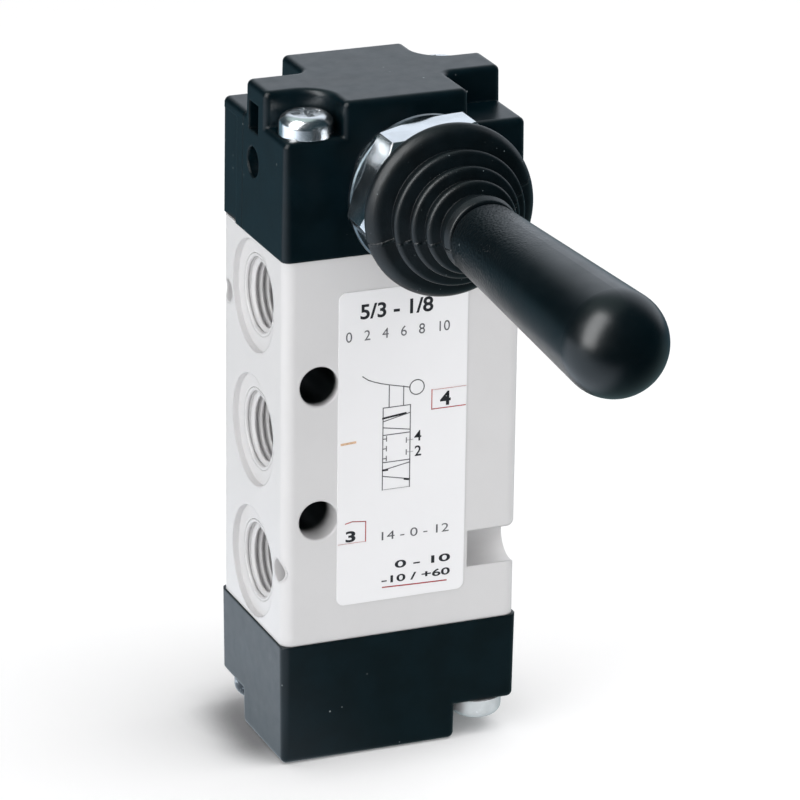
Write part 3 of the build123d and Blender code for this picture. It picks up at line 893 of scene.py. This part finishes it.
@dataclass
class SideHoleLip:
    """The moulded lip inside the left mouth of a side hole, trimmed to the body's rounded corner.

    Sizes are in millimetres.
    """

    length: float = 2.5
    wall: float = 0.22
    rounding: float = 0.08
    sunk: float = 0.01
    corner_radius: float = 1.5
    half_depth: float = 11.0
    steps: int = 48

    def build(self, mount: Mapping[str, object], shop: FinishShop) -> bpy.types.Object:
        """Builds the lip of one hole.

        Args:
            mount: The hole's mount in the record.
            shop: Where the finish comes from.

        Returns:
            The lip.
        """
        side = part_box("valve_body")[0].x
        axis = TurningAxis(Vector((side, *mount["pos_m"][1:])), RIGHT)
        outer = mount["dims"]["r_mm"] + self.sunk
        inner = outer - self.wall
        corners = [
            Corner(0.0, outer),
            Corner(0.0, inner, self.rounding),
            Corner(self.length, inner + self.wall / 2),
            Corner(self.length, outer),
        ]
        mesh = bmesh.new()
        turn_loop(mesh, axis, rounded_outline(corners, 3), self.steps)
        radius = self.corner_radius * MM
        for vert in mesh.verts:
            past = abs(vert.co.y) - (self.half_depth * MM - radius)
            if past > 0 and vert.co.x < side + self.length * MM / 2:
                vert.co.x += radius - (radius * radius - past * past) ** 0.5
        lip = piece_from(mesh, f"lip_of_{mount['name']}")
        shop.paint(lip, Finishes.BODY_PAINT)
        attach(lip, "housing")
        return lip


@dataclass
class ThreadedCollar:
    """The lever collar with its outside thread.

    Sizes are in millimetres, distances from the spool's axis.
    """

    start: float = 6.0
    end: float = 25.4
    crest_radius: float = 6.99
    crest_share: float = 0.14
    root_radius: float = 6.42
    root_share: float = 0.88
    bore_radius: float = 5.8
    lip_end: float = 7.5
    lip_radius: float = 4.3
    pitch: float = 1.0
    runout: float = 0.6
    sunk: float = 0.01
    chamfer: float = 0.25
    steps: int = 72

    def build(self, axis: TurningAxis, shop: FinishShop) -> bpy.types.Object:
        """Builds the tube and the thread wound on it.

        Args:
            axis: The lever's axis.
            shop: Where the finish comes from.

        Returns:
            The collar.
        """
        corners = [
            Corner(self.start, self.lip_radius),
            Corner(self.start, self.root_radius - self.chamfer),
            Corner(self.start + self.chamfer, self.root_radius),
            Corner(self.end - self.chamfer, self.root_radius),
            Corner(self.end, self.root_radius - self.chamfer),
            Corner(self.end, self.bore_radius),
            Corner(self.lip_end, self.bore_radius),
            Corner(self.lip_end, self.lip_radius),
        ]
        mesh = bmesh.new()
        turn_loop(mesh, axis, rounded_outline(corners), self.steps)
        first = self.start + self.runout * self.pitch
        turns = (self.end - self.start) / self.pitch - 2 * self.runout
        root = self.root_radius - self.sunk
        ridge = (root, self.root_share, self.crest_radius, self.crest_share)
        Thread(first, self.pitch, turns, *ridge).wind(mesh, axis, self.steps)
        collar = piece_from(mesh, "threaded_collar", sharp_angle=50.0)
        shop.paint(collar, Finishes.COLLAR_PLATE)
        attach(collar, "housing")
        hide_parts("lever_collar")
        return collar


@dataclass
class LeverBoot:
    """The rubber boot: a flange round the collar's end and four rings that shrink to the rod.

    Sizes are in millimetres, distances from the spool's axis.
    """

    inner_radius: float = 7.1
    flange: tuple[Corner, ...] = (
        Corner(23.8, 7.1),
        Corner(23.8, 10.5, 0.3),
        Corner(24.5, 11.0, 0.4),
        Corner(25.05, 11.0, 1.1),
        Corner(26.25, 10.25, 1.6),
    )
    flange_inside: float = 25.1
    ring_ends: tuple[float, ...] = (28.45, 30.25, 32.2, 34.6)
    ring_radii: tuple[float, ...] = (8.7, 7.25, 6.05, 4.85)
    ring_rounding: float = 0.6
    groove_depth: float = 0.5
    groove_start: float = 0.25
    groove_rounding: float = 0.05
    wall: float = 1.1
    wall_rounding: float = 0.15
    wall_groove: float = -0.45
    front: float = 35.8
    neck: tuple[Corner, ...] = (
        Corner(35.8, 4.55, 0.35),
        Corner(35.8, 2.9, 0.15),
        Corner(31.1, 2.9, 0.2),
    )
    swing_start: float = 25.5
    steps: int = 144

    def corners(self) -> list[Corner]:
        """Draws the boot's closed outline.

        Returns:
            Its corners, outside from back to front and then inside back again.
        """
        starts = (self.flange[-1].along, *self.ring_ends)
        rings = list(zip(starts, self.ring_ends, self.ring_radii))
        outline = list(self.flange)
        for start, end, radius in rings:
            groove = radius - self.groove_depth
            outline.append(Corner(start + self.groove_start, groove, self.groove_rounding))
            outline.append(Corner(end, radius, self.ring_rounding))
        outline += self.neck
        for start, end, radius in reversed(rings[:3]):
            inside = radius - self.wall
            outline.append(Corner(end - self.wall, inside, self.wall_rounding))
            groove = inside - self.groove_depth
            outline.append(Corner(start + self.wall_groove, groove, self.wall_rounding))
        outline.append(Corner(self.flange_inside, self.inner_radius, self.wall_rounding))
        return outline

    def build(self, axis: TurningAxis, shop: FinishShop) -> bpy.types.Object:
        """Builds the boot round the collar's end and the lever's rod.

        Args:
            axis: The lever's axis.
            shop: Where the finish comes from.

        Returns:
            The boot.
        """
        mesh = bmesh.new()
        turn_loop(mesh, axis, rounded_outline(self.corners()), self.steps)
        boot = piece_from(mesh, "lever_boot", sharp_angle=60.0)
        shop.paint(boot, Finishes.BOOT_RUBBER)
        start, end = axis.place(self.swing_start, 0), axis.place(self.front, 0)
        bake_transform(boot)
        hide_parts("rubber_boot")
        return boot


@dataclass(frozen=True)
class Strokes:
    """Runs of straight strokes in one ink, each run as its corners on the label's front."""

    name: str
    ink: Finishes
    width: float
    runs: Sequence[Sequence[Pair]]


@dataclass(frozen=True)
class Figures:
    """A row of figures: its middle, its width and height, and how far its outlines swell."""

    name: str
    text: str
    centre: Pair
    size: Pair
    ink: Finishes = Finishes.BLACK_INK
    swell: float = 0.0


@dataclass
class LabelPrint:
    """The print on the label: plain numbers, port boxes and the symbol of a five-port valve.

    Places are (x, z) in millimetres on the label's front. A share is a part of a square, from
    its top.
    """

    left: float = -2.75
    right: float = 0.95
    top: float = 47.15
    square: float = 3.68
    line: float = 0.13
    paths: tuple[tuple[int, float, float], ...] = (
        (0, 0.5, 0.28), (0, 0.72, 0.9), (2, 0.5, 0.72), (2, 0.28, 0.1)
    )
    left_shares: tuple[float, ...] = (0.14, 0.5, 0.86)
    right_shares: tuple[float, ...] = (0.28, 0.72)
    stop: float = 0.5
    stop_half: float = 0.3
    outlet: float = 0.4
    stems: tuple[Pair, ...] = ((-1.95, 50.15), (0.0, 49.75))
    arm: tuple[Pair, ...] = (
        (-5.55, 51.7), (-4.8, 51.15), (-4.0, 50.8), (-3.0, 50.45), (-1.9, 50.15), (-0.6, 49.85),
        (0.85, 49.5),
    )
    knob: Pair = (1.8, 49.4)
    knob_radius: float = 0.98
    knob_steps: int = 24
    marks: tuple[Strokes, ...] = (
        Strokes(
            "print_arrows", Finishes.BLACK_INK, 0.26,
            (
                ((-2.75, 45.75), (0.3, 46.1)),
                ((-2.7, 38.75), (-2.1, 38.75)),
                ((0.3, 37.2), (0.75, 37.1)),
            ),
        ),
        Strokes(
            "print_port_boxes", Finishes.RED_INK, 0.13,
            (
                ((8.45, 48.75), (3.85, 48.75), (3.85, 46.15), (8.45, 46.15)),
                ((-7.7, 32.15), (-6.8, 32.35), (-4.95, 32.15), (-4.95, 29.45), (-8.65, 29.45)),
            ),
        ),
        Strokes(
            "print_rule", Finishes.RED_INK, 0.17, (((-2.55, 22.75), (2.0, 22.6), (6.2, 22.5)),)
        ),
        Strokes("print_mark", Finishes.ORANGE_INK, 0.3, (((-8.3, 42.95), (-6.5, 43.05)),)),
    )
    rows: tuple[Figures, ...] = (
        Figures("print_size", "5/3 - 1/8", (-1.05, 60.3), (9.8, 2.0), swell=0.022),
        Figures(
            "print_scale", "0   2   4   6   8   10", (-0.85, 57.15), (14.0, 1.35), Finishes.GREY_INK
        ),
        Figures("print_port_right", "4", (5.7, 47.4), (1.45, 1.9), swell=0.03),
        Figures("print_port_left", "3", (-7.0, 30.35), (1.35, 1.5), swell=0.03),
        Figures("print_outlet_upper", "4", (2.0, 42.85), (0.95, 1.4), swell=0.01),
        Figures("print_outlet_lower", "2", (2.05, 40.8), (0.9, 1.4), swell=0.01),
        Figures("print_positions", "14 - 0 - 12", (1.85, 29.8), (9.2, 1.15), Finishes.GREY_INK),
        Figures("print_pressure", "0 - 10", (2.9, 25.65), (7.6, 1.05), swell=0.02),
        Figures("print_range", "-10 / +60", (2.0, 23.75), (9.4, 1.0), swell=0.02),
    )
    thickness: float = 0.012
    middle_y: float = field(init=False, default=0.0)

    def slab(self, mesh: bmesh.types.BMesh, start: Pair, end: Pair, width: float) -> None:
        """Adds one straight stroke as a thin closed bar.

        Args:
            mesh: The mesh that it goes into.
            start: One end.
            end: The other end.
            width: Width of the stroke.
        """
        a, b = (Vector((across, self.middle_y, rise)) for across, rise in (start, end))
        run = b - a
        size = Matrix.Diagonal((run.length + width, self.thickness, width, 1.0))
        turn = RIGHT.rotation_difference(run.normalized()).to_matrix().to_4x4()
        place = Matrix.Scale(MM, 4) @ Matrix.Translation((a + b) / 2) @ turn @ size
        bmesh.ops.create_cube(mesh, size=1.0, matrix=place)

    def strokes(self, row: Strokes, shop: FinishShop) -> bpy.types.Object:
        """Prints strokes.

        Args:
            row: The strokes.
            shop: Where the ink comes from.

        Returns:
            The piece.
        """
        mesh = bmesh.new()
        for points in row.runs:
            for start, end in zip(points, points[1:]):
                self.slab(mesh, start, end, row.width)
        return self.mounted(piece_from(mesh, row.name), row.ink, shop)

    def figures(self, row: Figures, shop: FinishShop) -> bpy.types.Object:
        """Prints a row of figures.

        Args:
            row: The figures.
            shop: Where the ink comes from.

        Returns:
            The piece.
        """
        curve = bpy.data.curves.new(row.name, "FONT")
        curve.body = row.text
        curve.offset = row.swell
        curve.extrude = 0.5  # Any depth would do, because the row is fitted to its size below.
        holder = bpy.data.objects.new(row.name, curve)
        bpy.context.scene.collection.objects.link(holder)
        bpy.context.view_layer.update()
        data = bpy.data.meshes.new_from_object(holder)
        bpy.data.objects.remove(holder)
        mesh = bmesh.new()
        mesh.from_mesh(data)
        bpy.data.meshes.remove(data)
        low, high = (
            Vector([end(vert.co[i] for vert in mesh.verts) for i in range(3)]) for end in (min, max)
        )
        span = high - low
        width, height = row.size
        size = (width / span.x, height / span.y, self.thickness / span.z, 1.0)
        fit = Matrix.Diagonal(size) @ Matrix.Translation(-(low + high) / 2)
        centre = Matrix.Translation((row.centre[0], self.middle_y, row.centre[1]))
        mesh.transform(Matrix.Scale(MM, 4) @ centre @ Matrix.Rotation(radians(90), 4, "X") @ fit)
        return self.mounted(piece_from(mesh, row.name), row.ink, shop)

    def mounted(
        self, piece: bpy.types.Object, ink: Finishes, shop: FinishShop
    ) -> bpy.types.Object:
        """Gives a printed piece its ink and fixes it to the housing.

        Args:
            piece: The piece.
            ink: Its ink.
            shop: Where the ink comes from.

        Returns:
            The piece.
        """
        shop.paint(piece, ink)
        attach(piece, "housing")
        return piece

    def symbol(self) -> list[list[Pair]]:
        """Draws the valve's symbol: three squares, their flow paths, and the lever's stems.

        Returns:
            Its runs.
        """
        left, right, top, square = self.left, self.right, self.top, self.square
        bottom = top - 3 * square
        runs = [[(left, top), (right, top), (right, bottom), (left, bottom), (left, top)]]
        runs += [[(left, top - row * square), (right, top - row * square)] for row in (1, 2)]
        for row, at_left, at_right in self.paths:
            start = top - row * square
            runs.append([(left, start - at_left * square), (right, start - at_right * square)])
        sides = (
            (left, left + self.stop, self.left_shares),
            (right + self.outlet, right - self.stop, self.right_shares),
        )
        for outside, inside, shares in sides:
            for share in shares:
                rise = top - square - share * square
                runs.append([(outside, rise), (inside, rise)])
                runs.append([(inside, rise - self.stop_half), (inside, rise + self.stop_half)])
        return runs + [[(across, rise), (across, top)] for across, rise in self.stems]

    def lever(self) -> list[Sequence[Pair]]:
        """Draws the lever in the symbol.

        Returns:
            Its curved arm and the ring at its end.
        """
        turns = [2 * pi * step / self.knob_steps for step in range(self.knob_steps + 1)]
        across, rise, radius = *self.knob, self.knob_radius
        ring = [(across + radius * cos(turn), rise + radius * sin(turn)) for turn in turns]
        return [self.arm, ring]

    def build(self, shop: FinishShop) -> list[bpy.types.Object]:
        """Prints the whole label.

        Args:
            shop: Where the inks come from.

        Returns:
            The printed pieces.
        """
        self.middle_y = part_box("label")[0].y / MM - self.thickness / 2
        lines = (
            Strokes("print_symbol", Finishes.GREY_INK, self.line, self.symbol()),
            Strokes("print_lever", Finishes.GREY_INK, self.line, self.lever()),
            *self.marks,
        )
        printed = [self.strokes(row, shop) for row in lines]
        return printed + [self.figures(row, shop) for row in self.rows]


@dataclass(frozen=True)
class SoftLamp:
    """A rectangular studio lamp aimed at the valve. Distances and sizes are in metres."""

    name: str
    towards: Colour
    distance: float
    size: Pair
    watts: float
    lights: bool = True
    mirrored: bool = False

    def build(self, aim: Vector) -> None:
        """Places the lamp.

        Args:
            aim: The point that it faces.
        """
        data = bpy.data.lights.new(self.name, "AREA")
        data.shape = "RECTANGLE"
        data.size, data.size_y = self.size
        data.energy = self.watts
        lamp = bpy.data.objects.new(self.name, data)
        out = Vector(self.towards).normalized()
        lamp.location = aim + out * self.distance
        lamp.rotation_euler = out.to_track_quat("Z", "Y").to_euler()
        lamp.visible_diffuse = self.lights
        lamp.visible_glossy = self.mirrored
        bpy.context.scene.collection.objects.link(lamp)


@dataclass
class Studio:
    """Floor, surroundings, lamps and camera, set up as in the photograph.

    The camera's angles are in degrees, its distance and aim in metres. The backdrop and the
    ceiling are directions that reflections look in. The floor's pairs are where a smooth step
    starts and ends, in millimetres from the spool's axis.
    """

    azimuth: float = -22.49
    elevation: float = 20.69
    roll: float = 0.76
    distance: float = 0.628
    aim: Colour = (0.00412, 0.0, 0.0434)
    focal_pixels: float = 4903.0
    picture_pixels: float = 800.0
    sensor: float = 36.0
    clip: Pair = (0.01, 50.0)
    ambient: float = 0.7
    backdrop: Colour = (0.6, 0.75, 0.25)
    backdrop_step: Pair = (0.64, 0.93)
    backdrop_colour: Colour = (1.02, 1.1, 1.2)
    ceiling: Colour = (-0.1, 0.35, 0.93)
    ceiling_step: Pair = (0.8, 0.95)
    ceiling_colour: Colour = (0.5, 0.62, 0.6)
    room: Colour = (0.01, 0.03, 0.04)
    floor_size: float = 8.0
    floor_depth: float = 0.05
    floor_colour: Colour = (0.86, 0.86, 0.865)
    floor_glow: float = 0.14
    far: Pair = (180.0, 420.0)
    contact_reach: float = 9.0
    contact_step: Pair = (1.0, 0.5)
    contact_side: Pair = (-6.0, -20.0)
    contact_front: Pair = (-14.0, -3.0)
    contact_share: Pair = (0.12, 0.85)
    contact_colour: Colour = (0.16, 0.16, 0.17)
    sheen: Colour = (1.42, 1.58, 1.76)
    sheen_side: Pair = (4.0, -30.0)
    sheen_near: Pair = (110.0, 50.0)
    sheen_sector: Pair = (50.0, -80.0)
    sector_slope: float = 0.9
    sheen_front: Pair = (-260.0, -80.0)
    front_sheen: Colour = (0.22, 0.33, 0.35)
    front_reach: Pair = (-170.0, -40.0)
    back_sheen: Colour = (0.11, 0.2, 0.25)
    back_start: Pair = (-5.0, 60.0)
    lamps: tuple[SoftLamp, ...] = (
        SoftLamp("strip", (-0.74, -0.22, 0.6), 0.7, (0.36, 0.9), 11.0, lights=False, mirrored=True),
        SoftLamp("side_lamp", (-0.93, -0.3, 0.2), 0.9, (0.7, 0.6), 4.1),
        SoftLamp("front_lamp", (-0.3, -0.93, 0.15), 0.9, (0.6, 0.5), 0.4),
        SoftLamp("top_lamp", (0.36, -0.2, 0.9), 0.9, (0.6, 0.6), 3.5),
    )

    def surround(self) -> None:
        """White for the camera, a dim room with a white backdrop for reflections, even for all else."""
        world = bpy.data.worlds.new("surround")
        recipe = Recipe(world)
        towards = recipe.value("ShaderNodeTexCoord", output="Generated")
        behind = recipe.dot(towards, Vector(self.backdrop).normalized()).above(*self.backdrop_step)
        above = recipe.dot(towards, Vector(self.ceiling).normalized()).above(*self.ceiling_step)
        dim = recipe.blend(above, rgba(self.room), rgba(self.ceiling_colour))
        mirrored = recipe.blend(behind, dim, rgba(self.backdrop_colour))
        level = rgba((self.ambient,) * 3)
        unseen = recipe.blend(recipe.ray("Is Glossy Ray"), level, mirrored)
        direct = recipe.ray("Is Camera Ray").larger(recipe.ray("Is Transmission Ray"))
        sockets = {"Color": recipe.blend(direct, unseen, rgba(WHITE)), "Strength": 1.0}
        light = recipe.value("ShaderNodeBackground", sockets=sockets)
        recipe.node("ShaderNodeOutputWorld", sockets={"Surface": light})
        bpy.context.scene.world = world

    def contact(self, recipe: Recipe) -> Value:
        """Finds where a painted shadow darkens the floor next to the valve's foot, most of all on its
        left.

        Args:
            recipe: The floor's material in the making.

        Returns:
            0 in the open, and towards 1 at the foot.
        """
        across, away, _ = recipe.axes()
        least, more = self.contact_share
        shaded = across.above(*self.contact_side) * away.above(*self.contact_front)
        distance = {"Distance": self.contact_reach * MM}
        free = recipe.value("ShaderNodeAmbientOcclusion", {"samples": 16}, distance, "AO")
        return free.above(*self.contact_step) * (shaded * more + least)

    def floor_in_sight(self, recipe: Recipe) -> Value:
        """Builds the floor as the camera and matt surfaces see it: pale, with a painted shadow next to
        the foot, and plain white far off.

        Args:
            recipe: The floor's material in the making.

        Returns:
            The surface.
        """
        across, away, _ = recipe.axes()
        camera = recipe.ray("Is Camera Ray")
        matt = recipe.matt(self.floor_colour)
        glow = recipe.glow(rgba((self.floor_glow,) * 3))
        lifted = recipe.value("ShaderNodeAddShader", sockets={0: matt, 1: glow})
        plain = recipe.either(camera, matt, lifted)
        # Painted shadow: a dark matt floor is mixed in next to the foot.
        near_by = recipe.either(self.contact(recipe), plain, recipe.matt(self.contact_colour))
        far = ((across * across + away * away) ** 0.5).above(*self.far) * camera
        return recipe.either(far, near_by, recipe.glow(rgba(WHITE)))

    def floor_in_mirrors(self, recipe: Recipe) -> Value:
        """Builds the floor as reflections see it: bright on the left and dim elsewhere.

        Args:
            recipe: The floor's material in the making.

        Returns:
            The surface.
        """
        across, away, _ = recipe.axes()
        near = ((across * across + away * away) ** 0.5).above(*self.sheen_near)
        sector = (away + across * self.sector_slope).above(*self.sheen_sector)
        lit = near.larger(sector * away.above(*self.sheen_front)) * across.above(*self.sheen_side)
        front = away.above(*self.front_reach)
        front = recipe.blend(front, rgba(self.room), rgba(self.front_sheen))
        dim = recipe.blend(away.above(*self.back_start), front, rgba(self.back_sheen))
        return recipe.glow(recipe.blend(lit, dim, rgba(self.sheen)))

    def floor(self) -> None:
        """A white floor that keeps the valve's soft shadow, with a painted contact shadow next to its
        foot.
        """
        mesh = bmesh.new()
        sunk = Matrix.Translation((0, 0, -self.floor_depth * MM))
        half = self.floor_size / 2
        bmesh.ops.create_grid(mesh, x_segments=1, y_segments=1, size=half, matrix=sunk)
        floor = piece_from(mesh, "floor")
        material = bpy.data.materials.new("floor")
        recipe = Recipe(material)
        seen, mirrored = self.floor_in_sight(recipe), self.floor_in_mirrors(recipe)
        surface = recipe.either(recipe.ray("Is Glossy Ray"), seen, mirrored)
        recipe.node("ShaderNodeOutputMaterial", sockets={"Surface": surface})
        floor.data.materials.append(material)

    def camera(self) -> None:
        """The camera at the photograph's viewing angle."""
        a, e, r = radians(self.azimuth), radians(self.elevation), radians(self.roll)
        back = Vector((sin(a) * cos(e), -cos(a) * cos(e), sin(e)))
        level = Vector((cos(a), sin(a), 0.0))
        rise = back.cross(level)
        right = level * cos(r) + rise * sin(r)
        up = rise * cos(r) - level * sin(r)
        data = bpy.data.cameras.new("camera")
        data.sensor_width = self.sensor
        data.lens = self.focal_pixels / self.picture_pixels * self.sensor
        data.clip_start, data.clip_end = self.clip
        camera = bpy.data.objects.new("camera", data)
        place = Matrix((right, up, back)).transposed().to_4x4()
        place.translation = Vector(self.aim) + back * self.distance
        camera.matrix_world = place
        bpy.context.scene.collection.objects.link(camera)
        bpy.context.scene.camera = camera

    def build(self) -> None:
        """Sets up the whole studio."""
        self.surround()
        self.floor()
        self.camera()
        for lamp in self.lamps:
            lamp.build(Vector(self.aim))
        bpy.context.scene.view_settings.view_transform = "Standard"


def main() -> None:
    """Builds the valve's looks in order and reports each piece."""
    logging.basicConfig(level=logging.INFO, format="%(name)s: %(message)s")
    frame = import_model()
    shop = FinishShop()
    shop.paint_frame(frame)
    LOG.info("painted %d nodes of the frame", len(frame["nodes"]))
    axis = lever_line(frame)
    for mount in frame["record"]["mounts"]:
        if mount["kind"] == "threaded_hole":
            LOG.info("built %s", ThreadedPort().build(mount, shop).name)
        elif mount["name"].startswith("side_hole"):
            LOG.info("built %s", SideHoleLip().build(mount, shop).name)
    LOG.info("built %s", ThreadedCollar().build(axis, shop).name)
    LOG.info("built %s", LeverBoot().build(axis, shop).name)
    for piece in LabelPrint().build(shop):
        LOG.info("printed %s", piece.name)
    Studio().build()
    LOG.info("set up the studio")


if __name__ == "__main__":
    main()
